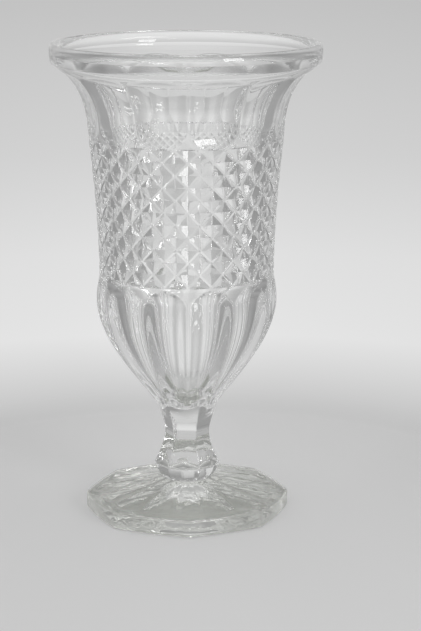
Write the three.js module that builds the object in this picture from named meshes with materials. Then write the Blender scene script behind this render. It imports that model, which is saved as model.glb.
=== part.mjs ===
// Footed vase of clear pressed glass, in millimetres, +Z up, origin at the middle of the standing face.
// Three gathers of glass are pressed apart and joined hot at flat seats: a foot, a stem and a bowl.
// The bowl carries a round lip, a flared neck with hollow flutes, a band of hollow diamonds, a plain ring
// and a fluted cup. Angles start at the front, which faces -Y, and run towards +X.
import * as THREE from "three";

// Heights, each measured from the top of the one before, from the table up
const FOOT_EDGE_HEIGHT = 9;
const FOOT_DOME_RISE = 8.5;
const STEM_HEIGHT = 41.8;
const CUP_HEIGHT = 69;
const RING_HEIGHT = 1.9;
const DIAMOND_HEIGHT = 12.8;
const NECK_HEIGHT = 43.4; // from the diamonds to the lip's widest line
const LIP_HEIGHT = 12;

// Foot: an eight-sided plate with swelling sides, a fluted dome above and a shallow hollow below
const FOOT_RADIUS = 54.4; // at the corners
const FOOT_SIDES = 8;
const FOOT_BULGE = 0.3; // 0 for straight sides, 1 for a circle
const FOOT_FLUTES = 16;
const FOOT_FLUTE_DEPTH = 1.4; // at the rim, and less inwards as the flutes narrow
const FOOT_RIM_MARGIN = 3; // plain border outside the flutes
const FOOT_TIP_OUTER = 4.2; // length of the flutes' round ends at the border
const FOOT_TIP_INNER = 3.5; // and at the stem
const FOOT_EDGE_BEVEL = 1.2;
const STANDING_WIDTH = 8.7; // of the flat standing face, at the middle of a side
const HOLLOW_DEPTH = 5;
const DOME_CURVE = 1.1; // 1 is a plain cone, more is a hollower slope

// Stem: six flat panels between a knop, with two facets to each panel, and a round collar
const STEM_PANELS = 6;
const STEM_TURN = -7.5; // degrees: the stem was set on by hand, a little off the bowl's pattern
const STEM_SEAT_RADIUS = 13.2; // on the foot
const KNOP_RADIUS = 17.5;
const KNOP_HEIGHT = 7.8; // above the foot
const KNOP_RUN_OUT = 8; // height over which the knop's facets merge into the panels
const WAIST_RADIUS = 11.8;
const WAIST_HEIGHT = 25; // above the foot
const COLLAR_RADIUS = 16.6; // the seat that the bowl stands on
const COLLAR_ROUNDING = 9; // height over which the panels run out under the bowl
const WAIST_CURVE = 1.6; // of the slope from the knop to the waist
const COLLAR_CURVE = 1.3; // and from the waist to the collar

// Cup: swells out under the ring, then tapers to the seat
const RING_RADIUS = 45.9;
const CUP_RADIUS = 47.6;
const CUP_SWELL_DROP = 12.8; // from the ring down to the widest line
const CUP_SIDE_REACH = 20.5; // pull of the upright side on the curve
const CUP_TAPER_OUT = 11.9; // pull of the taper at the seat, outwards
const CUP_TAPER_UP = 14.2; // and upwards
const CUP_FLUTE_DEPTH = 4.2;
const CUP_ARCH_HEIGHT = 8; // of the flutes' round tops
const CUP_RUN_OUT = 6; // where the flutes fade above the seat

// Band of diamonds: pits of four facets between slanting ribs
const DIAMONDS_ROUND = 24;
const HALF_ROWS = 11;
const DIAMOND_DEPTH = 1.8;
const BAND_BOTTOM_RADIUS = 45.7; // at the ribs
const BAND_TOP_RADIUS = 50.6;
const BAND_HOLLOW = 0.9; // how far the side curves in at mid-height
const BAND_LEDGE = 0.8; // small slope between the diamonds and the neck

// Neck and lip
const FLUTES = 12;
const NECK_FLUTE_DEPTH = 2.6;
const NECK_ARCH_HEIGHT = 3.2; // of the flutes' round tops
const NECK_FLUTE_DROP = 7.9; // from the lip's widest line down to the flutes
const NECK_FLUTE_FOOT = 5; // where the flutes' round lower ends begin
const NECK_LEAN = 3.2; // steady spread before the flare
const FLARE_CURVE = 3.2;
const LIP_RADIUS = 70.6;
const LIP_WIDTH = 6.8;
const LIP_JOIN = 45; // degrees below the widest line where the flare meets the lip

// Hollow
const WALL = 5.2; // under the ribs
const BASE_GLASS = 2.7; // from the seat up to the hollow's floor
const CAVITY_SIDE_REACH = 36; // pull of the upright inner side on the curve
const CAVITY_FLOOR_REACH = 14; // pull of the flat floor
const INNER_FLARE_CURVE = 2.2;

// Facets
const BAND_COLUMNS = 2 * DIAMONDS_ROUND;
const FLUTE_COLUMNS = 2 * BAND_COLUMNS;
const STEM_COLUMNS = 4 * STEM_PANELS;
const FOOT_COLUMNS = 4 * FOOT_FLUTES;
const CUP_RINGS = 9;
const SWELL_RINGS = 5;
const NECK_RINGS = 11;
const LIP_RINGS = 10;
const INNER_NECK_RINGS = 7;
const INNER_BAND_RINGS = 3;
const INNER_CUP_RINGS = 8;
const STEM_RINGS = 5;
const DOME_RINGS = 9;
const HOLLOW_RINGS = 3;

const Z_STEM = FOOT_EDGE_HEIGHT + FOOT_DOME_RISE;
const Z_BOWL = Z_STEM + STEM_HEIGHT;
const Z_RING = Z_BOWL + CUP_HEIGHT;
const Z_BAND = Z_RING + RING_HEIGHT;
const Z_NECK = Z_BAND + (HALF_ROWS * DIAMOND_HEIGHT) / 2;
const Z_LIP = Z_NECK + NECK_HEIGHT;
const Z_FLOOR = Z_BOWL + BASE_GLASS;

const { lerp, degToRad, euclideanModulo, clamp } = THREE.MathUtils;

/** `count` + 1 even steps from 0 to 1. */
const steps = (count) => Array.from({ length: count + 1 }, (_, i) => i / count);

/** How far an angle lies from the middle of its own share of the circle: 0 in the middle, 1 at its edges. */
function offMiddle(angle, shares, middle) {
  const share = (2 * Math.PI) / shares;
  return Math.abs(2 * euclideanModulo((angle - middle) / share + 0.5, 1) - 1);
}

/** A regular polygon's radius at an angle, for a corner radius of 1 and a flat face in front. */
function polygon(angle, sides) {
  const half = Math.PI / sides;
  return Math.cos(half) / Math.cos(half * offMiddle(angle, sides, 0));
}

/** A closed line round the axis, with its radius and height given as functions of the angle. */
function ring(columns, radius, height) {
  return Array.from({ length: columns }, (_, i) => {
    const angle = (2 * Math.PI * i) / columns;
    const r = radius(angle, i);
    return new THREE.Vector3(r * Math.sin(angle), -r * Math.cos(angle), height(angle, i));
  });
}

/** A plain round ring. */
const hoop = (columns, radius, z) => ring(columns, () => radius, () => z);

/**
 * A closed skin from a middle point, over rings in order, to another middle point. Two neighbouring rings
 * have as many points, or one has twice as many as the other. `leans` says which way a quad is split.
 */
function skin(start, rings, end, leans = () => false) {
  const points = [start, ...rings.flat(), end];
  const last = points.length - 1;
  const faces = [];
  const first = [];
  rings.reduce((offset, list) => (first.push(offset), offset + list.length), 1);
  const at = (k, i) => first[k] + (i % rings[k].length);

  rings[0].forEach((_, i) => faces.push(0, at(0, i + 1), at(0, i)));
  for (let k = 0; k + 1 < rings.length; k++) {
    const [below, above] = [rings[k].length, rings[k + 1].length];
    for (let i = 0; i < Math.min(below, above); i++) {
      if (below === above) {
        const [a, b, c, d] = [at(k, i), at(k, i + 1), at(k + 1, i + 1), at(k + 1, i)];
        faces.push(...(leans(k, i) ? [a, b, d, b, c, d] : [a, b, c, a, c, d]));
      } else if (below < above) {
        const [a, b] = [at(k, i), at(k, i + 1)];
        const [c, d, e] = [at(k + 1, 2 * i), at(k + 1, 2 * i + 1), at(k + 1, 2 * i + 2)];
        faces.push(a, d, c, a, b, d, b, e, d);
      } else {
        const [a, b, c] = [at(k, 2 * i), at(k, 2 * i + 1), at(k, 2 * i + 2)];
        const [d, e] = [at(k + 1, i), at(k + 1, i + 1)];
        faces.push(a, b, d, b, e, d, b, c, e);
      }
    }
  }
  const top = rings.length - 1;
  rings[top].forEach((_, i) => faces.push(at(top, i), at(top, i + 1), last));

  const geometry = new THREE.BufferGeometry().setFromPoints(points);
  geometry.setIndex(faces);
  return geometry;
}

/** Clear glass, with each piece's own faint tint. */
function glass(colour) {
  return new THREE.MeshStandardMaterial({
    color: colour,
    roughness: 0.03,
    metalness: 0,
    transparent: true,
    opacity: 0.35,
  });
}

/** Depth of a flute: deepest along its middle, nothing at its round ridges, less by `lift` at its ends. */
function fluteCut(angle, depth, lift) {
  const ridge = offMiddle(angle, FLUTES, Math.PI / FLUTES);
  return Math.max(0, depth * ((1 - ridge ** 2) ** 2 - lift));
}

/** Grows as a square from 0 at `from` to 1 at `to`, on the far side of `from`. */
function runUp(value, from, to) {
  return Math.max(0, (value - from) / (to - from)) ** 2;
}

/** Radius at the ribs between the diamonds. */
function bandRadius(z) {
  const t = (z - Z_BAND) / (Z_NECK - Z_BAND);
  return lerp(BAND_BOTTOM_RADIUS, BAND_TOP_RADIUS, t) - BAND_HOLLOW * 4 * t * (1 - t);
}

/** A point on the lip's oval section, at an angle from its widest line. */
function lipPoint(degrees) {
  const angle = degToRad(degrees);
  const middle = LIP_RADIUS - LIP_WIDTH / 2;
  const radius = middle + (LIP_WIDTH / 2) * Math.cos(angle);
  return new THREE.Vector2(radius, Z_LIP + (LIP_HEIGHT / 2) * Math.sin(angle));
}

/** Radius of the neck's ridges: a steady lean, then a flare that meets the lip. */
function neckRadius(z) {
  const join = lipPoint(-LIP_JOIN);
  const t = (z - Z_NECK) / (join.y - Z_NECK);
  return BAND_TOP_RADIUS + NECK_LEAN * t + (join.x - BAND_TOP_RADIUS - NECK_LEAN) * t ** FLARE_CURVE;
}

/** The cup's rings, from the seat up: the taper and side as one curve, then the swell under the ring. */
function cupRings() {
  const zWide = Z_RING - CUP_SWELL_DROP;
  const side = new THREE.CubicBezierCurve(
    new THREE.Vector2(COLLAR_RADIUS, Z_BOWL),
    new THREE.Vector2(COLLAR_RADIUS + CUP_TAPER_OUT, Z_BOWL + CUP_TAPER_UP),
    new THREE.Vector2(CUP_RADIUS, zWide - CUP_SIDE_REACH),
    new THREE.Vector2(CUP_RADIUS, zWide),
  );
  const swell = steps(SWELL_RINGS).slice(1).map((t) => {
    const radius = lerp(RING_RADIUS, CUP_RADIUS, Math.cos((Math.PI / 2) * t));
    return new THREE.Vector2(radius, lerp(zWide, Z_RING, t));
  });
  return [...side.getPoints(CUP_RINGS), ...swell].map(({ x, y }) => {
    const depth = (CUP_FLUTE_DEPTH * x) / CUP_RADIUS;
    const lift = runUp(y, Z_RING - CUP_ARCH_HEIGHT, Z_RING) + runUp(y, Z_BOWL + CUP_RUN_OUT, Z_BOWL);
    return ring(FLUTE_COLUMNS, (angle) => x - fluteCut(angle, depth, lift), () => y);
  });
}

/** The band's rings: rib crossings and middles of pits take turns, shifted by one from row to row. */
function bandRings() {
  return steps(HALF_ROWS).map((t, row) => {
    const z = lerp(Z_BAND, Z_NECK, t);
    const pit = (i) => (i + row) % 2 === 1;
    return ring(BAND_COLUMNS, (_, i) => bandRadius(z) - (pit(i) ? DIAMOND_DEPTH : 0), () => z);
  });
}

/** The neck's rings, up to the lip. */
function neckRings() {
  const join = lipPoint(-LIP_JOIN);
  const arch = Z_LIP - NECK_FLUTE_DROP;
  return steps(NECK_RINGS).slice(0, -1).map((t) => {
    const z = lerp(Z_NECK + BAND_LEDGE, join.y, t);
    const lift = runUp(z, arch - NECK_ARCH_HEIGHT, arch) + runUp(z, Z_NECK + NECK_FLUTE_FOOT, Z_NECK);
    return ring(FLUTE_COLUMNS, (angle) => neckRadius(z) - fluteCut(angle, NECK_FLUTE_DEPTH, lift), () => z);
  });
}

/** The lip's rings, from the flare over the top to the mouth. */
function lipRings() {
  return steps(LIP_RINGS).map((t) => {
    const { x, y } = lipPoint(lerp(-LIP_JOIN, 180, t));
    return hoop(BAND_COLUMNS, x, y);
  });
}

/** The hollow's smooth rings, from below the mouth down to just above the middle of the floor. */
function innerRings() {
  const mouth = lipPoint(180);
  const narrow = BAND_TOP_RADIUS - WALL;
  const neck = steps(INNER_NECK_RINGS).slice(1).map((t) => {
    const radius = narrow + (mouth.x - narrow) * (1 - t) ** INNER_FLARE_CURVE;
    return hoop(BAND_COLUMNS, radius, lerp(mouth.y, Z_NECK, t));
  });
  const band = steps(INNER_BAND_RINGS).slice(1).map((t) => {
    const z = lerp(Z_NECK, Z_BAND, t);
    return hoop(BAND_COLUMNS, bandRadius(z) - WALL, z);
  });
  const side = BAND_BOTTOM_RADIUS - WALL;
  const cup = new THREE.CubicBezierCurve(
    new THREE.Vector2(side, Z_BAND),
    new THREE.Vector2(side, Z_BAND - CAVITY_SIDE_REACH),
    new THREE.Vector2(CAVITY_FLOOR_REACH, Z_FLOOR),
    new THREE.Vector2(0, Z_FLOOR),
  );
  const floor = cup.getPoints(INNER_CUP_RINGS).slice(1, -1);
  return [...neck, ...band, ...floor.map(({ x, y }) => hoop(BAND_COLUMNS, x, y))];
}

/** The bowl: outside from its seat up to the lip, and back down inside to the floor. */
function bowl() {
  const outside = [...cupRings(), hoop(BAND_COLUMNS, RING_RADIUS, Z_RING + RING_HEIGHT / 2)];
  const firstRow = outside.length;
  const rings = [...outside, ...bandRings(), ...neckRings(), ...lipRings(), ...innerRings()];
  const inBand = (k) => k >= firstRow && k < firstRow + HALF_ROWS;
  const leans = (k, i) => inBand(k) && (i + k - firstRow) % 2 === 1;
  const seat = new THREE.Vector3(0, 0, Z_BOWL);
  const floor = new THREE.Vector3(0, 0, Z_FLOOR);
  return new THREE.Mesh(skin(seat, rings, floor, leans), glass(0xe6ebea));
}

/** The stem: a faceted knop, a panelled waist and a collar whose panels run out to a round seat. */
function stem() {
  const facets = 2 * STEM_PANELS;
  const knop = steps(STEM_RINGS).map((t) => {
    const rise = Math.sin((Math.PI / 2) * t);
    return new THREE.Vector2(lerp(STEM_SEAT_RADIUS, KNOP_RADIUS, rise), KNOP_HEIGHT * t);
  });
  const waist = steps(STEM_RINGS).slice(1).map((t) => {
    const radius = lerp(WAIST_RADIUS, KNOP_RADIUS, (1 - t) ** WAIST_CURVE);
    return new THREE.Vector2(radius, lerp(KNOP_HEIGHT, WAIST_HEIGHT, t));
  });
  const collar = steps(STEM_RINGS).slice(1).map((t) => {
    const radius = lerp(WAIST_RADIUS, COLLAR_RADIUS, t ** COLLAR_CURVE);
    return new THREE.Vector2(radius, lerp(WAIST_HEIGHT, STEM_HEIGHT, t));
  });
  const rings = [...knop, ...waist, ...collar].map(({ x, y }) => {
    const onKnop = clamp(1 - (y - KNOP_HEIGHT) / KNOP_RUN_OUT, 0, 1);
    const round = clamp(1 - (STEM_HEIGHT - y) / COLLAR_ROUNDING, 0, 1);
    const radius = (angle) => {
      const sides = lerp(polygon(angle, STEM_PANELS), polygon(angle + Math.PI / facets, facets), onKnop);
      return x * lerp(sides, 1, round);
    };
    return ring(STEM_COLUMNS, radius, () => y);
  });
  const shape = skin(new THREE.Vector3(), rings, new THREE.Vector3(0, 0, STEM_HEIGHT));
  shape.rotateZ(degToRad(STEM_TURN)).translate(0, 0, Z_STEM);
  return new THREE.Mesh(shape, glass(0xe2e8e6));
}

/** The foot: hollow underside, flat standing face, upright eight-sided edge, fluted dome and flat seat. */
function foot() {
  const corner = Math.PI / FOOT_SIDES;
  const outline = (angle) => FOOT_RADIUS * lerp(polygon(angle + corner, FOOT_SIDES), 1, FOOT_BULGE);
  const inset = (angle) => outline(angle) - FOOT_EDGE_BEVEL;
  const flat = (z) => () => z;
  const hollowRadius = inset(corner) - STANDING_WIDTH;
  const under = steps(HOLLOW_RINGS).slice(1).map((t) => {
    return hoop(FOOT_COLUMNS, hollowRadius * t, HOLLOW_DEPTH * (1 - t * t));
  });
  const edge = [
    ring(FOOT_COLUMNS, inset, flat(0)),
    ring(FOOT_COLUMNS, outline, flat(FOOT_EDGE_BEVEL)),
    ring(FOOT_COLUMNS, outline, flat(FOOT_EDGE_HEIGHT - FOOT_EDGE_BEVEL)),
  ];
  const dome = steps(DOME_RINGS).map((t) => {
    const radius = (angle) => lerp(inset(angle), STEM_SEAT_RADIUS, t);
    const height = (angle) => {
      const length = inset(angle) - STEM_SEAT_RADIUS - FOOT_RIM_MARGIN;
      const along = radius(angle) - STEM_SEAT_RADIUS;
      const tips = runUp(along, length - FOOT_TIP_OUTER, length) + runUp(along, FOOT_TIP_INNER, 0);
      const depth = (FOOT_FLUTE_DEPTH * radius(angle)) / inset(angle);
      const cut = Math.max(0, depth * (1 - offMiddle(angle, FOOT_FLUTES, 0) ** 2 - tips));
      return FOOT_EDGE_HEIGHT + FOOT_DOME_RISE * t ** DOME_CURVE - cut;
    };
    return ring(FOOT_COLUMNS, radius, height);
  });
  const hollow = new THREE.Vector3(0, 0, HOLLOW_DEPTH);
  const seat = new THREE.Vector3(0, 0, Z_STEM);
  return new THREE.Mesh(skin(hollow, [...under, ...edge, ...dome], seat), glass(0xdfe6e1));
}

const vase = new THREE.Group();
for (const [name, mesh] of Object.entries({ bowl: bowl(), stem: stem(), foot: foot() })) {
  mesh.name = name;
  vase.add(mesh);
}

export default vase;
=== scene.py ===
# %% [markdown]
# # A footed vase of clear pressed glass
# Three gathers of glass make this vase: a foot, a stem and a bowl, pressed in moulds and joined while hot.
# This lesson builds each one as a surface worked out with numpy, gives it a clear glass, and sets it on a
# pale table under soft studio light. The frame holds the engineer's solids, and every piece stays on them.

import bpy
import numpy as np
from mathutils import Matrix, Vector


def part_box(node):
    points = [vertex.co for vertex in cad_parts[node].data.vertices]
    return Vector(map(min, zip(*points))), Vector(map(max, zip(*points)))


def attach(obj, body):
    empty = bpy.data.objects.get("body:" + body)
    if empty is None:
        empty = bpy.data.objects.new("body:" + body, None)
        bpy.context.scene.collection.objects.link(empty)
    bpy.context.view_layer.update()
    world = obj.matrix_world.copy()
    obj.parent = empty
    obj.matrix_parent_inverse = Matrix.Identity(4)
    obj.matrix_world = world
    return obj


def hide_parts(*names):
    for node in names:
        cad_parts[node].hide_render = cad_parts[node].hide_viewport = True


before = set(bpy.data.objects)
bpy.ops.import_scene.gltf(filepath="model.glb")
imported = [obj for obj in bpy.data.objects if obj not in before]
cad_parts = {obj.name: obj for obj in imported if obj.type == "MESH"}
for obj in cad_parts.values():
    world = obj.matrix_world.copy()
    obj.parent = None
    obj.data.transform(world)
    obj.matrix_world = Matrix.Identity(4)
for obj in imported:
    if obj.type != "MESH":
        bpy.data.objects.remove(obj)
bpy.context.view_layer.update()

# %% [markdown]
# ## The camera
# The photograph looks down on the vase from a little over a metre away. The place and the lens were worked
# out from the crossings of the diamond pattern, whose true spacing is known once the height is. A camera's
# turn is written as how far it tips up from looking straight down, then how far it turns about the upright.

# %% Camera
LENS_MM = 115.95
SENSOR_MM = 36.0
CAMERA_DISTANCE = 1.050
CAMERA_HEIGHT = 0.348
CAMERA_DIP = 0.227  # radians below level
CAMERA_AIM = 0.012  # radians to the right of the vase's axis
CAMERA_SWING = -0.0162  # radians round the vase, so that the pattern faces as it does in the picture

eye = bpy.data.cameras.new("eye")
eye.sensor_fit = "VERTICAL"
eye.sensor_height = SENSOR_MM
eye.sensor_width = SENSOR_MM
eye.lens = LENS_MM
camera = bpy.data.objects.new("camera", eye)
camera.location = (
    CAMERA_DISTANCE * np.sin(CAMERA_SWING),
    -CAMERA_DISTANCE * np.cos(CAMERA_SWING),
    CAMERA_HEIGHT,
)
camera.rotation_euler = (np.pi / 2 - CAMERA_DIP, 0, CAMERA_SWING - CAMERA_AIM)
bpy.context.collection.objects.link(camera)
bpy.context.scene.camera = camera
bpy.context.scene.view_settings.view_transform = "Standard"
print("camera at", tuple(camera.location))

# %% [markdown]
# ## Rings, and the skin between them
# All three pieces are round, so each is a stack of rings about the upright axis. A ring has a radius and a
# height for every angle, and a skin of triangles joins each ring to the next. A pole closes each end. Angles
# start at the front and run to the right. Lengths are written in millimetres and become metres at the end.

# %% Rings and skins
MM = 0.001


def rings(radius, height, angle):
    """Points of many rings: the radius swings round the axis by the angle; the height goes straight up."""
    radius, height, angle = np.broadcast_arrays(radius, height, angle)
    return np.stack([radius * np.sin(angle), -radius * np.cos(angle), height], -1)


def strip(first, rows, columns, lean):
    """Two triangles for each cell of a closed grid. A cell that leans is cut along its other diagonal."""
    row, column = np.meshgrid(np.arange(rows - 1), np.arange(columns), indexing="ij")
    beside = (column + 1) % columns
    a, b = first + row * columns + column, first + row * columns + beside
    d, c = a + columns, b + columns
    flat = np.stack([a, b, c, a, c, d], -1)
    leaning = np.stack([a, b, d, b, c, d], -1)
    return np.where(lean[..., None], leaning, flat).reshape(-1, 3)


def halving(below, above, columns):
    """Three triangles for every two cells, where a ring meets one with half as many points."""
    i = np.arange(columns // 2)
    a, b, c = below + 2 * i, below + 2 * i + 1, below + (2 * i + 2) % columns
    d, e = above + i, above + (i + 1) % (columns // 2)
    return np.stack([a, b, d, b, e, d, b, c, e], -1).reshape(-1, 3)


def closed_skin(name, grids, low, high, leans=None):
    """One closed body: a pole at the start, grids of rings in turn, and a pole at the end."""
    points, faces, first = [np.array([[0, 0, low]])], [], 1
    for k, grid in enumerate(grids):
        rows, columns = grid.shape[:2]
        lean = np.zeros((rows - 1, columns), bool)
        if leans is not None and leans[k] is not None:
            lean = leans[k]
        if k:
            last_row = first - grids[k - 1].shape[1]
            faces.append(halving(last_row, first, grids[k - 1].shape[1]))
        faces.append(strip(first, rows, columns, lean))
        points.append(grid.reshape(-1, 3))
        first += rows * columns
    points.append(np.array([[0, 0, high]]))
    start, end = np.arange(grids[0].shape[1]), np.arange(grids[-1].shape[1])
    opening = np.stack([0 * start, 1 + np.roll(start, -1), 1 + start], -1)
    last_row = first - len(end)
    closing = np.stack([last_row + end, last_row + np.roll(end, -1), 0 * end + first], -1)
    faces = np.concatenate([opening, *faces, closing])
    mesh = bpy.data.meshes.new(name)
    mesh.from_pydata((np.concatenate(points) * MM).tolist(), [], faces.tolist())
    mesh.polygons.foreach_set("use_smooth", np.ones(len(faces), bool))
    mesh.update()
    piece = bpy.data.objects.new(name, mesh)
    bpy.context.collection.objects.link(piece)
    print(name, "has", len(mesh.vertices), "points and", len(faces), "triangles")
    return piece


def sharpen(piece, degrees):
    """Leaves an edge crisp where its two faces meet at more than so many degrees."""
    piece.data.set_sharp_from_angle(angle=np.radians(degrees))


# %% [markdown]
# ## Hollow flutes
# The mould cuts hollow flutes into the neck and the cup. Across a flute the cut is a parabola, deepest along
# its middle, that runs out softly at the ridges: over a narrow strip in the neck, and over a wide one in the
# cup, whose ridges are left round like beads. Where a flute ends, a lift is taken off the cut. It draws the
# end in to a round arch, or to a long spoon, and a small softening rounds its edge.

# %% Flutes
FLUTES = 12
FLUTE_SOFT = 0.03


def off_middle(angle, shares, middle):
    """How far an angle lies from the middle of its share of the circle: 0 in the middle, 1 at its edges."""
    return np.abs(2 * np.mod((angle - middle) * shares / (2 * np.pi) + 0.5, 1) - 1)


def rising(value, start, stop):
    """Grows as a square from 0 at the start to 1 at the stop, on the far side of the start."""
    return np.maximum(0, (value - start) / (stop - start)) ** 2


def softened(value, soft):
    """The larger of a value and 0, with the corner rounded: half of the value plus its softened size."""
    return (value + np.sqrt(value * value + soft * soft)) / 2


def flute_cut(angle, depth, ridge, lift):
    """Depth of a flute: a parabola p, 1 in the middle and 0 at the ridge, turned into p * p over p plus the
    ridge value, less the lift, softened. A small ridge value leaves p itself, and a large one p * p."""
    p = 1 - off_middle(angle, FLUTES, np.pi / FLUTES) ** 2
    return depth * softened((1 + ridge) * p * p / (p + ridge) - lift, FLUTE_SOFT)


# %% [markdown]
# ## Columns that suit the diamonds
# Twenty-four diamonds go round the band, between ribs that run aslant. Each half diamond gets eight columns
# and eight rows, so that the ribs and their edges pass exactly through the grid's corners and stay clean.

# %% Columns
HALF_DIAMONDS = 48
STEPS = 8
across = np.arange(HALF_DIAMONDS * STEPS) / STEPS  # in half diamonds
angles = across * 2 * np.pi / HALF_DIAMONDS
smooth_angles = angles[::2]
print(len(angles), "columns round the pattern,", len(smooth_angles), "round the hollow")

# %% [markdown]
# ## The bowl's outside, from its seat to the ring
# The cup rises from the stem's seat as one smooth curve, swells to its widest line, and draws in a little to
# a thin plain ring. Its twelve flutes have round tops just under the ring and fade out above the seat.

# %% Cup
Z_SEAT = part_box("bowl")[0].z / MM
Z_RING, Z_BAND, Z_NECK = 128.3, 130.2, 200.6
SEAT_RADIUS = 16.6
CUP_RADIUS, CUP_WIDEST = 47.6, 115.5
CUP_SIDE_PULL = 95  # height that the upright side is drawn from
CUP_TAPER_RADIUS, CUP_TAPER_RISE = 28.5, 14.2  # and the point that draws the taper at the seat
CUP_FLUTE_DEPTH, CUP_RIDGE = 4.2, 5
CUP_ARCH, CUP_RUN_OUT = 8, 6
RING_RADIUS = 45.9
RING_LINES = [0.5, 1.2]  # above the cup


def bezier(points, t):
    """A cubic curve drawn towards its two middle points, at steps t from 0 to 1."""
    p = np.array(points, float)
    weights = np.stack([(1 - t) ** 3, 3 * t * (1 - t) ** 2, 3 * t * t * (1 - t), t**3], -1)
    return weights @ p


side = bezier([(SEAT_RADIUS, Z_SEAT), (CUP_TAPER_RADIUS, Z_SEAT + CUP_TAPER_RISE),
               (CUP_RADIUS, CUP_SIDE_PULL), (CUP_RADIUS, CUP_WIDEST)], np.linspace(0, 1, 40))
rise = np.linspace(0, 1, 15)[1:]
swell = np.stack([RING_RADIUS + (CUP_RADIUS - RING_RADIUS) * np.cos(rise * np.pi / 2),
                  CUP_WIDEST + (Z_RING - CUP_WIDEST) * rise], -1)
profile = np.concatenate([side, swell])
radius, height = profile[:, :1], profile[:, 1:]
lift = rising(height, Z_RING - CUP_ARCH, Z_RING) + rising(height, Z_SEAT + CUP_RUN_OUT, Z_SEAT)
cut = flute_cut(angles, CUP_FLUTE_DEPTH * radius / CUP_RADIUS, CUP_RIDGE, lift)
cup = rings(radius - cut, height, angles)
ring = rings(RING_RADIUS, Z_RING + np.array(RING_LINES)[:, None], angles)
print("the cup has", len(cup), "rings")

# %% [markdown]
# ## The band of diamonds
# Each diamond is a pit of four facets, like a pyramid pressed in. Two sets of slanting ribs cross on the
# band; the way to the nearest rib of each set is a triangular wave, and the lower of the two waves, less the
# rib's own half width, is the depth of the pit. Fire polish leaves every facet very slightly swollen, and so
# each one works as a weak lens that shows one even tone instead of a small picture of the far wall.

# %% Diamonds
HALF_ROWS = 11
PIT_DEPTH = 1.8
RIB = 1 / STEPS  # half a rib's width, in half diamonds
FACET_SWELL = 0.4
BAND_RADIUS, BAND_SPREAD, BAND_HOLLOW = 45.7, 4.9, 0.9


def band_radius(z):
    """Radius at the ribs: a straight slope less a shallow arc that draws the middle in."""
    t = (z - Z_BAND) / (Z_NECK - Z_BAND)
    return BAND_RADIUS + BAND_SPREAD * t - BAND_HOLLOW * 4 * t * (1 - t)


def to_rib(x):
    """Triangular wave: 0 on every whole number and 1 half-way between two."""
    return 2 * np.abs(x - np.round(x))


up = np.arange(HALF_ROWS * STEPS + 1)[:, None] / STEPS
ways = to_rib((across + up) / 2), to_rib((across - up) / 2)
pyramid, other = np.minimum(*ways), np.maximum(*ways)
pit = np.maximum(0, (pyramid - RIB) / (1 - RIB))
swell = 1 - pyramid - ((1 - pyramid) ** 2 + (1 - other) ** 2) / 2  # x + y - x * x - y * y from a pit's middle
height = Z_BAND + (Z_NECK - Z_BAND) * up / HALF_ROWS
band = rings(band_radius(height) - PIT_DEPTH * pit + FACET_SWELL * swell, height, angles)
leaning = (np.floor(across).astype(int) + np.floor(up[:-1]).astype(int)) % 2 == 1
print("the band has", HALF_DIAMONDS // 2, "diamonds round and", HALF_ROWS / 2, "up")

# %% [markdown]
# ## The neck and the lip
# Above the band the wall leans out slowly and then flares to the lip, which is an oval roll of glass with a
# slim crest. The flutes start above the band in long spoons and stop under the lip in flat arches, and a
# plain hollow is left between the arches and the lip.

# %% Neck and lip
Z_LIP, LIP_RADIUS, LIP_WIDTH, LIP_HALF_HEIGHT = 244.0, 70.6, 6.8, 6.0
LIP_JOIN, LIP_LEAN = np.radians(-45), 1.2
NECK_LEDGE, NECK_RADIUS, NECK_LEAN, FLARE_CURVE = 0.8, 50.6, 3.2, 3.2
NECK_FLUTE_DEPTH, NECK_RIDGE, NECK_SPOON = 2.9, 0.12, 10
NECK_ARCH, NECK_FLUTE_DROP = 3.2, 7.9


def lip_point(turn):
    """A point on the lip's oval: half the width out by the turn's cosine and half the height up by its sine.
    The upper half also leans out by the lean times the sine's square, which makes the crest slim."""
    half = LIP_WIDTH / 2
    out = LIP_RADIUS - half + half * np.cos(turn) + LIP_LEAN * np.maximum(np.sin(turn), 0) ** 2
    return out, Z_LIP + LIP_HALF_HEIGHT * np.sin(turn)


join_radius, join_height = lip_point(LIP_JOIN)
height = np.linspace(Z_NECK + NECK_LEDGE, join_height, 56)[:-1, None]
t = (height - Z_NECK) / (join_height - Z_NECK)
radius = NECK_RADIUS + NECK_LEAN * t + (join_radius - NECK_RADIUS - NECK_LEAN) * t**FLARE_CURVE
flute_top = Z_LIP - NECK_FLUTE_DROP
lift = rising(height, flute_top - NECK_ARCH, flute_top) + rising(height, Z_NECK + NECK_SPOON, Z_NECK)
neck = rings(radius - flute_cut(angles, NECK_FLUTE_DEPTH, NECK_RIDGE, lift), height, angles)
outer_lip = rings(*[v[:, None] for v in lip_point(np.linspace(LIP_JOIN, 0, 7))], angles)
inner_lip = rings(*[v[:, None] for v in lip_point(np.linspace(0, np.pi, 21)[1:])], smooth_angles)
print("the lip is", 2 * LIP_RADIUS, "mm across and tops out at", Z_LIP + LIP_HALF_HEIGHT)

# %% [markdown]
# ## The hollow
# The inside is smooth, because the plunger of the press is smooth. It follows the flare, then the band with
# a wall of about five millimetres, and closes in a round bottom above the solid glass of the seat.

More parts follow.
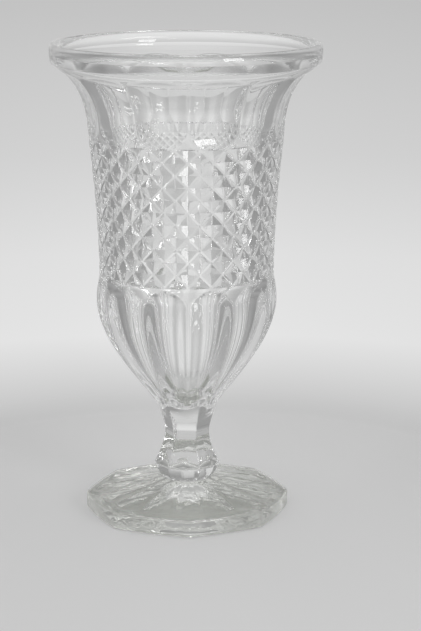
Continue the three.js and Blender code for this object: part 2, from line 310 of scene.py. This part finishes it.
# %% Hollow and whole bowl
WALL, Z_FLOOR = 5.2, 62.0
INNER_FLARE_CURVE = 2.2
SIDE_PULL, FLOOR_PULL = 36, 14  # how far the upright side and the flat floor draw the round bottom
mouth_radius, mouth_height = lip_point(np.pi)
t = np.linspace(0, 1, 26)[1:, None]
narrow = band_radius(Z_NECK) - WALL
flare = (mouth_radius - narrow) * (1 - t) ** INNER_FLARE_CURVE
throat = rings(narrow + flare, mouth_height + (Z_NECK - mouth_height) * t, smooth_angles)
height = np.linspace(Z_NECK, Z_BAND, 14)[1:, None]
middle = rings(band_radius(height) - WALL, height, smooth_angles)
inner = band_radius(Z_BAND) - WALL
curve = bezier([(inner, Z_BAND), (inner, Z_BAND - SIDE_PULL), (FLOOR_PULL, Z_FLOOR), (0, Z_FLOOR)],
               np.linspace(0, 1, 30))[1:-1]
bottom = rings(curve[:, :1], curve[:, 1:], smooth_angles)

outside = np.concatenate([cup, ring, band, neck, outer_lip])
inside = np.concatenate([inner_lip, throat, middle, bottom])
lean = np.zeros((len(outside) - 1, len(angles)), bool)
first_row = len(cup) + len(ring)
lean[first_row : first_row + len(leaning)] = leaning
bowl = closed_skin("vase_bowl", [outside, inside], Z_SEAT, Z_FLOOR, [lean, None])
sharpen(bowl, 20)

# %% [markdown]
# ## The stem
# The stem has six flat panels that swell into a faceted knop below and run out into a round collar above. A
# six-sided ring with rounded corners comes from adding up, for each panel, how squarely an angle faces it,
# raised to a high power: the panel that is faced most squarely wins, and near a corner two share the win.

# %% Stem
Z_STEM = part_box("stem")[0].z / MM
STEM_TURN = np.radians(-7.5)
FOOT_SEAT_RADIUS, KNOP_RADIUS, WAIST_RADIUS = 13.2, 17.5, 11.8
KNOP_HEIGHT, WAIST_HEIGHT, COLLAR_HEIGHT = 7.8, 25, Z_SEAT - Z_STEM  # above the foot
WAIST_CURVE, COLLAR_CURVE = 1.6, 1.3
KNOP_RUN_OUT, COLLAR_ROUNDING, SEAT_ROUNDING = 8, 9, 2.5
STEM_COLUMNS = 192
PANEL_POWER, FACET_POWER = 90, 300  # a higher power gives sharper corners


def rounded_polygon(angle, sides, turn, power):
    """Radius of a polygon with corners at radius 1: its inner radius over the power sum of the cosines of
    the angles to each side's middle."""
    middles = turn + np.arange(sides)[:, None] * 2 * np.pi / sides
    facing = np.maximum(0, np.cos(angle - middles)) ** power
    return np.cos(np.pi / sides) / facing.sum(0) ** (1 / power)


stem_angles = np.arange(STEM_COLUMNS) * 2 * np.pi / STEM_COLUMNS
t = np.linspace(0, 1, 17)
knop = np.stack([FOOT_SEAT_RADIUS + (KNOP_RADIUS - FOOT_SEAT_RADIUS) * np.sin(t * np.pi / 2),
                 KNOP_HEIGHT * t], -1)
t = np.linspace(0, 1, 21)[1:]
waist = np.stack([WAIST_RADIUS + (KNOP_RADIUS - WAIST_RADIUS) * (1 - t) ** WAIST_CURVE,
                  KNOP_HEIGHT + (WAIST_HEIGHT - KNOP_HEIGHT) * t], -1)
collar = np.stack([WAIST_RADIUS + (SEAT_RADIUS - WAIST_RADIUS) * t**COLLAR_CURVE,
                   WAIST_HEIGHT + (COLLAR_HEIGHT - WAIST_HEIGHT) * t], -1)
profile = np.concatenate([knop, waist, collar])
radius, height = profile[:, :1], profile[:, 1:]
six = rounded_polygon(stem_angles, 6, STEM_TURN, PANEL_POWER)
twelve = rounded_polygon(stem_angles, 12, STEM_TURN + np.pi / 12, FACET_POWER)
on_knop = np.clip(1 - (height - KNOP_HEIGHT) / KNOP_RUN_OUT, 0, 1)
panels = six + (twelve - six) * on_knop
above = np.clip(1 - (COLLAR_HEIGHT - height) / COLLAR_ROUNDING, 0, 1)
below = np.clip(1 - height / SEAT_ROUNDING, 0, 1)
round_share = np.maximum(above, below)
radius = radius * (panels + (1 - panels) * round_share)
stem = closed_skin("vase_stem", [rings(radius, Z_STEM + height, stem_angles)], Z_STEM, Z_SEAT)
sharpen(stem, 60)

# %% [markdown]
# ## The foot
# The foot is an eight-sided plate with an upright edge. Sixteen shallow flutes ray out over its low dome and
# end in round tips inside a plain border. Underneath, a shallow hollow leaves a flat ring to stand on.

# %% Foot
FOOT_RADIUS, FOOT_EDGE, FOOT_BEVEL, FOOT_BORDER = 54.4, 9.0, 1.2, 3.0
FOOT_BULGE = 0.3  # how far the sides swell towards a circle
FOOT_FLUTES, FOOT_FLUTE_DEPTH, FLUTE_TIP_OUTER, FLUTE_TIP_INNER = 16, 1.4, 0.12, 0.1
FOOT_FLUTE_SOFT = 0.05
STANDING_WIDTH, HOLLOW_DEPTH, DOME_CURVE = 8.7, 5.0, 1.1
FOOT_COLUMNS, EDGE_POWER = 256, 120
foot_angles = np.arange(FOOT_COLUMNS) * 2 * np.pi / FOOT_COLUMNS
octagon = rounded_polygon(foot_angles, 8, np.pi / 8, EDGE_POWER)
outline = FOOT_RADIUS * (octagon + FOOT_BULGE * (1 - octagon))
inset = outline - FOOT_BEVEL
hollow_radius = inset.min() - STANDING_WIDTH
t = np.linspace(0, 1, 13)[1:, None]
hollow = rings(hollow_radius * t, HOLLOW_DEPTH * (1 - t * t), foot_angles)
standing = rings(inset, 0, foot_angles)[None]
quarter = np.linspace(0, np.pi / 2, 5)[:, None]
out, rise = FOOT_BEVEL * np.sin(quarter), FOOT_BEVEL * np.cos(quarter)
lower = rings(inset + out, FOOT_BEVEL - rise, foot_angles)[1:]
upper = rings(inset + rise, FOOT_EDGE - FOOT_BEVEL + out, foot_angles)
t = np.linspace(0, 1, 44)[1:, None]
reach = inset - FOOT_SEAT_RADIUS
along = (t * reach - FOOT_BORDER) / (reach - FOOT_BORDER)
ray = off_middle(foot_angles, FOOT_FLUTES, 0)
tip = rising(along, FLUTE_TIP_OUTER, 0) + rising(along, 1 - FLUTE_TIP_INNER, 1)
dome_radius = inset - reach * t
hollowed = FOOT_FLUTE_DEPTH * dome_radius / inset * softened(1 - ray**2 - tip, FOOT_FLUTE_SOFT)
slope = FOOT_EDGE + (Z_STEM - FOOT_EDGE) * t**DOME_CURVE
dome = rings(dome_radius, slope - hollowed * (t < 1), foot_angles)
foot_skin = np.concatenate([hollow, standing, lower, upper, dome])
foot = closed_skin("vase_foot", [foot_skin], HOLLOW_DEPTH, Z_STEM)
sharpen(foot, 50)

# %% [markdown]
# ## Clear glass
# Pressed glass is colourless and a little uneven: the mould leaves slow ripples, and wiping leaves faint
# patches that are less bright. One group of nodes gives both, and each piece's glass uses it with its own
# values. The foot's is the greenest and the most rippled.

# %% Glass finishes
def pressed_finish():
    """Height of slow mould ripples, and a patchy bloom for the roughness, both from noise in the piece's own
    coordinates."""
    group = bpy.data.node_groups.new("pressed finish", "ShaderNodeTree")
    for way, names in [("INPUT", ["Ripple Scale", "Bloom"]), ("OUTPUT", ["Height", "Roughness"])]:
        for name in names:
            group.interface.new_socket(name=name, in_out=way, socket_type="NodeSocketFloat")
    nodes, links = group.nodes, group.links
    start, stop = nodes.new("NodeGroupInput"), nodes.new("NodeGroupOutput")
    place = nodes.new("ShaderNodeTexCoord")
    ripple, bloom = nodes.new("ShaderNodeTexNoise"), nodes.new("ShaderNodeTexNoise")
    ripple.inputs["Detail"].default_value = 1.0
    bloom.inputs["Scale"].default_value = 45.0
    links.new(place.outputs["Object"], ripple.inputs["Vector"])
    links.new(place.outputs["Object"], bloom.inputs["Vector"])
    links.new(start.outputs["Ripple Scale"], ripple.inputs["Scale"])
    links.new(ripple.outputs["Fac"], stop.inputs["Height"])
    patchy = nodes.new("ShaderNodeMath")
    patchy.operation = "MULTIPLY"
    links.new(bloom.outputs["Fac"], patchy.inputs[0])
    links.new(start.outputs["Bloom"], patchy.inputs[1])
    links.new(patchy.outputs[0], stop.inputs["Roughness"])
    return group


FINISH = pressed_finish()


def clear_glass(name, colour, ripple_scale, ripple_depth, bloom):
    """A clear glass whose ripples bend the light and whose roughness is a little patchy."""
    material = bpy.data.materials.new(name)
    material.use_nodes = True
    nodes, links = material.node_tree.nodes, material.node_tree.links
    shader = nodes["Principled BSDF"]
    shader.inputs["Base Color"].default_value = (*colour, 1)
    shader.inputs["Transmission Weight"].default_value = 1
    shader.inputs["IOR"].default_value = 1.51
    finish = nodes.new("ShaderNodeGroup")
    finish.node_tree = FINISH
    finish.inputs["Ripple Scale"].default_value = ripple_scale
    finish.inputs["Bloom"].default_value = bloom
    bump = nodes.new("ShaderNodeBump")
    bump.inputs["Distance"].default_value = ripple_depth
    bump.inputs["Strength"].default_value = 1.0
    links.new(finish.outputs["Height"], bump.inputs["Height"])
    links.new(finish.outputs["Roughness"], shader.inputs["Roughness"])
    links.new(bump.outputs["Normal"], shader.inputs["Normal"])
    return material


def fused_joint():
    """The hidden face between two gathers that were joined hot: there is nothing to see."""
    material = bpy.data.materials.new("fused joint")
    material.use_nodes = True
    material.node_tree.nodes["Principled BSDF"].inputs["Alpha"].default_value = 0
    return material


JOINT = fused_joint()


def dress(piece, material, joints):
    """Glass all over, and a fused joint on the flat faces at the given heights."""
    mesh = piece.data
    mesh.materials.append(material)
    mesh.materials.append(JOINT)
    middle = np.empty(len(mesh.polygons) * 3)
    mesh.polygons.foreach_get("center", middle)
    level = middle.reshape(-1, 3)[:, 2]
    hidden = np.any([np.abs(level - z * MM) < 1e-6 for z in joints], 0)
    mesh.polygons.foreach_set("material_index", hidden.astype(np.int32))
    print(piece.name, "has", int(hidden.sum()), "hidden faces at its joints")


FINE_RIPPLE, STRONG_RIPPLE = (60, 0.00006), (120, 0.0003)  # waves to a metre, and their depth in metres
dress(bowl, clear_glass("bowl glass", (0.985, 0.987, 0.985), *FINE_RIPPLE, bloom=0.02), [Z_SEAT])
dress(stem, clear_glass("stem glass", (0.965, 0.968, 0.963), *FINE_RIPPLE, bloom=0.02), [Z_SEAT, Z_STEM])
dress(foot, clear_glass("foot glass", (0.935, 0.95, 0.91), *STRONG_RIPPLE, bloom=0.03), [Z_STEM])

for piece, node in [(bowl, "bowl"), (stem, "stem"), (foot, "foot")]:
    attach(piece, "root")
    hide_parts(node)

# %% [markdown]
# ## The table and the light
# The table is a large pale sheet. Near the vase it takes its soft shadow, which painted light fills in part.
# Further off it shows a painted fall of light: brightest a little behind the vase, greyer far away, and pale
# again in front. Glass gathers a wide view of it, and shows its sides greyer, by painted shade, than the open
# view does, which gives the pattern its contrast.

# %% Table
TABLE_LEVEL = -0.4  # a hair below the foot, which never sits quite flat
TABLE_RINGS = [0.3, 1, 3, 9]  # metres
PAINT = 0.98  # how pale the sheet is
# painted light takes this share of the near part, where it fills the vase's shadow in part
PAINTED_NEAR, PAINTED_GLASS = 0.5, 0.2  # painted share of the near part, in the open view and through glass
NEAR_START, NEAR_END, FRONT_REACH = 0.14, 0.24, 0.4  # the near part's soft edge, which lies further in front
TURN = 0.1  # metres in front of the axis and behind it over which the front's light turns into the back's
# the sheet's sides are darkened by painted shade; the next lines say how much of it each view takes
OPEN_VIEW = 0.85  # how much of the sides' grey the open view leaves out
NEAR_ASIDE = 0.7  # how much of it the near part takes
ASIDE_EASE = 0.1  # metres added to the distance, so that the sides' grey starts softly
# painted shade to the sides: the light that is left, by the sideways share of the distance
FALL_ASIDE = [(0, 1), (0.08, 1), (0.16, 0.88), (0.3, 0.8), (0.42, 0.7), (0.54, 0.45), (1, 0.45)]
# light by metres to the front
FRONT_LIGHT = [(0, 0.57), (0.2, 0.55), (0.4, 0.78), (0.7, 1)]
# greys out of 255 by metres from the vase, behind it
FALL_OF_LIGHT = [(0.1, 205), (0.2, 195), (0.4, 230), (0.7, 225), (1.3, 210), (3.6, 195)]


def closed_sheet(name, grid):
    """A flat sheet of rings with a pole in the middle, facing up."""
    rows, columns = grid.shape[:2]
    points = np.concatenate([[[0, 0, grid[0, 0, 2]]], grid.reshape(-1, 3)]) * MM
    i = np.arange(columns)
    middle = np.stack([0 * i, 1 + i, 1 + np.roll(i, -1)], -1)
    outer = strip(1, rows, columns, np.zeros((rows - 1, columns), bool))[:, ::-1]
    mesh = bpy.data.meshes.new(name)
    mesh.from_pydata(points.tolist(), [], np.concatenate([middle, outer]).tolist())
    sheet = bpy.data.objects.new(name, mesh)
    bpy.context.collection.objects.link(sheet)
    return sheet


def value_ramp(nodes, stops):
    """A ramp of greys through the given (place, level) pairs."""
    ramp = nodes.new("ShaderNodeValToRGB")
    for k, (place, level) in enumerate(stops):
        spot = ramp.color_ramp.elements[k] if k < 2 else ramp.color_ramp.elements.new(1.0)
        spot.position = place
        spot.color = (level, level, level, 1)
    return ramp


def maths(nodes, links, operation, *values):
    """One sum on up to three values, each a socket or a plain number."""
    node = nodes.new("ShaderNodeMath")
    node.operation = operation
    for socket, value in zip(node.inputs, values):
        if isinstance(value, (int, float)):
            socket.default_value = value
        else:
            links.new(value, socket)
    return node.outputs[0]


def span(nodes, links, value, low, high):
    """0 below the low value, 1 above the high one, and a smooth step between."""
    step = nodes.new("ShaderNodeMapRange")
    step.interpolation_type = "SMOOTHSTEP"
    step.inputs["From Min"].default_value = low
    step.inputs["From Max"].default_value = high
    links.new(value, step.inputs["Value"])
    return step.outputs["Result"]


def light_of(grey):
    """The light that shows as a grey from 0 to 255."""
    return ((grey / 255 + 0.055) / 1.055) ** 2.4


def blend(nodes, links, kind, factor, first, second):
    """Two colours mixed, multiplied or added. Each value is a socket, or is written in as it is."""
    node = nodes.new("ShaderNodeMix")
    node.data_type, node.blend_type = "RGBA", kind
    for name, value in [("Factor", factor), ("A", first), ("B", second)]:
        if isinstance(value, bpy.types.NodeSocket):
            links.new(value, node.inputs[name])
        else:
            node.inputs[name].default_value = value
    return node.outputs["Result"]


def table_finish():
    """A pale sheet with a painted light: behind, a fall by the distance from the vase, less the sides'
    painted shade; in front, a rise. The painted light shows to the eye, in mirrors and through glass, and
    lights nothing. Its base colour is darkened to the sides too: painted shade."""
    material = bpy.data.materials.new("table paint")
    material.use_nodes = True
    nodes, links = material.node_tree.nodes, material.node_tree.links
    paint, out = nodes["Principled BSDF"], nodes["Material Output"]
    paint.inputs["Roughness"].default_value = 0.9
    paint.inputs["Specular IOR Level"].default_value = 0.1
    place, away = nodes.new("ShaderNodeTexCoord"), nodes.new("ShaderNodeVectorMath")
    split = nodes.new("ShaderNodeSeparateXYZ")
    away.operation = "LENGTH"
    links.new(place.outputs["Object"], away.inputs[0])
    links.new(place.outputs["Object"], split.inputs[0])
    across, depth, far = split.outputs["X"], split.outputs["Y"], away.outputs["Value"]
    path = nodes.new("ShaderNodeLightPath")
    open_view = path.outputs["Is Camera Ray"]
    # painted shade to the sides, by the sideways share of the distance
    aside = maths(nodes, links, "ABSOLUTE", across)
    aside = maths(nodes, links, "DIVIDE", aside, maths(nodes, links, "ADD", far, ASIDE_EASE))
    side = value_ramp(nodes, FALL_ASIDE)
    links.new(aside, side.inputs["Fac"])
    shade = maths(nodes, links, "MULTIPLY_ADD", open_view, -OPEN_VIEW, 1)
    near_shade = maths(nodes, links, "MULTIPLY", shade, NEAR_ASIDE)
    # the sheet's base colour takes the sides' painted shade as well
    sheet = blend(nodes, links, "MULTIPLY", near_shade, (PAINT, PAINT, PAINT, 1), side.outputs["Color"])
    links.new(sheet, paint.inputs["Base Color"])

    log = maths(nodes, links, "LOGARITHM", far, 10)
    along = maths(nodes, links, "MULTIPLY_ADD", log, 0.5, 0.5)  # a tenth of a metre is 0, ten metres are 1
    fall = value_ramp(nodes, [((np.log10(metres) + 1) / 2, light_of(grey)) for metres, grey in FALL_OF_LIGHT])
    links.new(along, fall.inputs["Fac"])
    behind = blend(nodes, links, "MULTIPLY", shade, fall.outputs["Color"], side.outputs["Color"])
    front = value_ramp(nodes, FRONT_LIGHT)
    links.new(maths(nodes, links, "MULTIPLY", depth, -1), front.inputs["Fac"])
    turn = span(nodes, links, depth, -TURN, TURN)
    painted_glow = nodes.new("ShaderNodeEmission")
    links.new(blend(nodes, links, "MIX", turn, front.outputs["Color"], behind), painted_glow.inputs["Color"])

    seen = maths(nodes, links, "MAXIMUM", open_view, path.outputs["Is Glossy Ray"])
    seen = maths(nodes, links, "MAXIMUM", seen, path.outputs["Is Transmission Ray"])
    clear = maths(nodes, links, "MINIMUM", depth, 0)
    clear = maths(nodes, links, "MULTIPLY_ADD", clear, FRONT_REACH, far)
    share = maths(nodes, links, "MULTIPLY", seen, span(nodes, links, clear, NEAR_START, NEAR_END))
    # the near part shows painted light as well, which fills the vase's shadow in part
    near = maths(nodes, links, "MULTIPLY_ADD", open_view, PAINTED_NEAR - PAINTED_GLASS, PAINTED_GLASS)
    share = maths(nodes, links, "MAXIMUM", share, maths(nodes, links, "MULTIPLY", seen, near))
    mix = nodes.new("ShaderNodeMixShader")
    links.new(share, mix.inputs["Fac"])
    links.new(paint.outputs["BSDF"], mix.inputs[1])
    links.new(painted_glow.outputs["Emission"], mix.inputs[2])
    links.new(mix.outputs["Shader"], out.inputs["Surface"])
    return material


table_angles = np.arange(64) * 2 * np.pi / 64
table = closed_sheet("table", rings(np.array(TABLE_RINGS)[:, None] / MM, TABLE_LEVEL, table_angles))
table.data.materials.append(table_finish())
print("the table is", 2 * TABLE_RINGS[-1], "metres across")

# %% [markdown]
# ## Studio light
# Glass shows what is around it, so the room matters more than the lamp. The room is a soft grey: pale in
# front, darker to the sides, dark behind but for a pale patch straight behind, and paler overhead. One soft
# box, to the right of the front, gives the white shapes on the lip, the neck and the diamonds.

# %% Room and soft box
# light by the place from the front, 0, to the back, 1, and what is added from level, 0, to overhead, 1
ROOM_LIGHT = [(0, 0.66), (0.07, 0.72), (0.25, 0.5), (0.5, 0.34), (0.75, 0.28), (0.945, 0.3), (0.985, 0.64)]
OVERHEAD_LIGHT = [(0, 0), (0.5, 0), (0.85, 0.2), (1, 0.65)]
BOX_AIM = 0.14  # metres above the table, at the vase's middle
BOUNCES, CLEAR_BOUNCES = 40, 24
sky = bpy.data.worlds.new("studio")
bpy.context.scene.world = sky
sky.use_nodes = True
nodes, links = sky.node_tree.nodes, sky.node_tree.links
place, split = nodes.new("ShaderNodeTexCoord"), nodes.new("ShaderNodeSeparateXYZ")
links.new(place.outputs["Generated"], split.inputs[0])
back = maths(nodes, links, "MULTIPLY_ADD", split.outputs["Y"], 0.5, 0.5)
room, overhead = value_ramp(nodes, ROOM_LIGHT), value_ramp(nodes, OVERHEAD_LIGHT)
links.new(back, room.inputs["Fac"])
links.new(split.outputs["Z"], overhead.inputs["Fac"])
whole = blend(nodes, links, "ADD", 1, room.outputs["Color"], overhead.outputs["Color"])
links.new(whole, nodes["Background"].inputs["Color"])


def soft_box(name, azimuth, elevation, distance, size, level):
    """A lamp at an angle to the right of the front and above level, facing the vase's middle. Its level is
    how many times brighter than white it looks: a lamp's power is that times pi times its area."""
    a, e = np.radians(azimuth), np.radians(elevation)
    away = np.array([np.sin(a) * np.cos(e), -np.cos(a) * np.cos(e), np.sin(e)])
    lamp = bpy.data.lights.new(name, "AREA")
    lamp.shape = "RECTANGLE"
    lamp.size, lamp.size_y = size
    lamp.energy = level * np.pi * size[0] * size[1]
    box = bpy.data.objects.new(name, lamp)
    box.location = np.array([0, 0, BOX_AIM]) + distance * away
    box.rotation_euler = (np.pi / 2 - e, 0, a)
    bpy.context.collection.objects.link(box)
    return box


# light turns many corners inside patterned glass, so its path may be long
paths = bpy.context.scene.cycles
paths.max_bounces, paths.transmission_bounces, paths.glossy_bounces = BOUNCES, BOUNCES, BOUNCES
paths.transparent_max_bounces = CLEAR_BOUNCES

soft_box("right box", azimuth=38, elevation=19, distance=1.2, size=(0.34, 0.34), level=7)
print("the soft box is set")
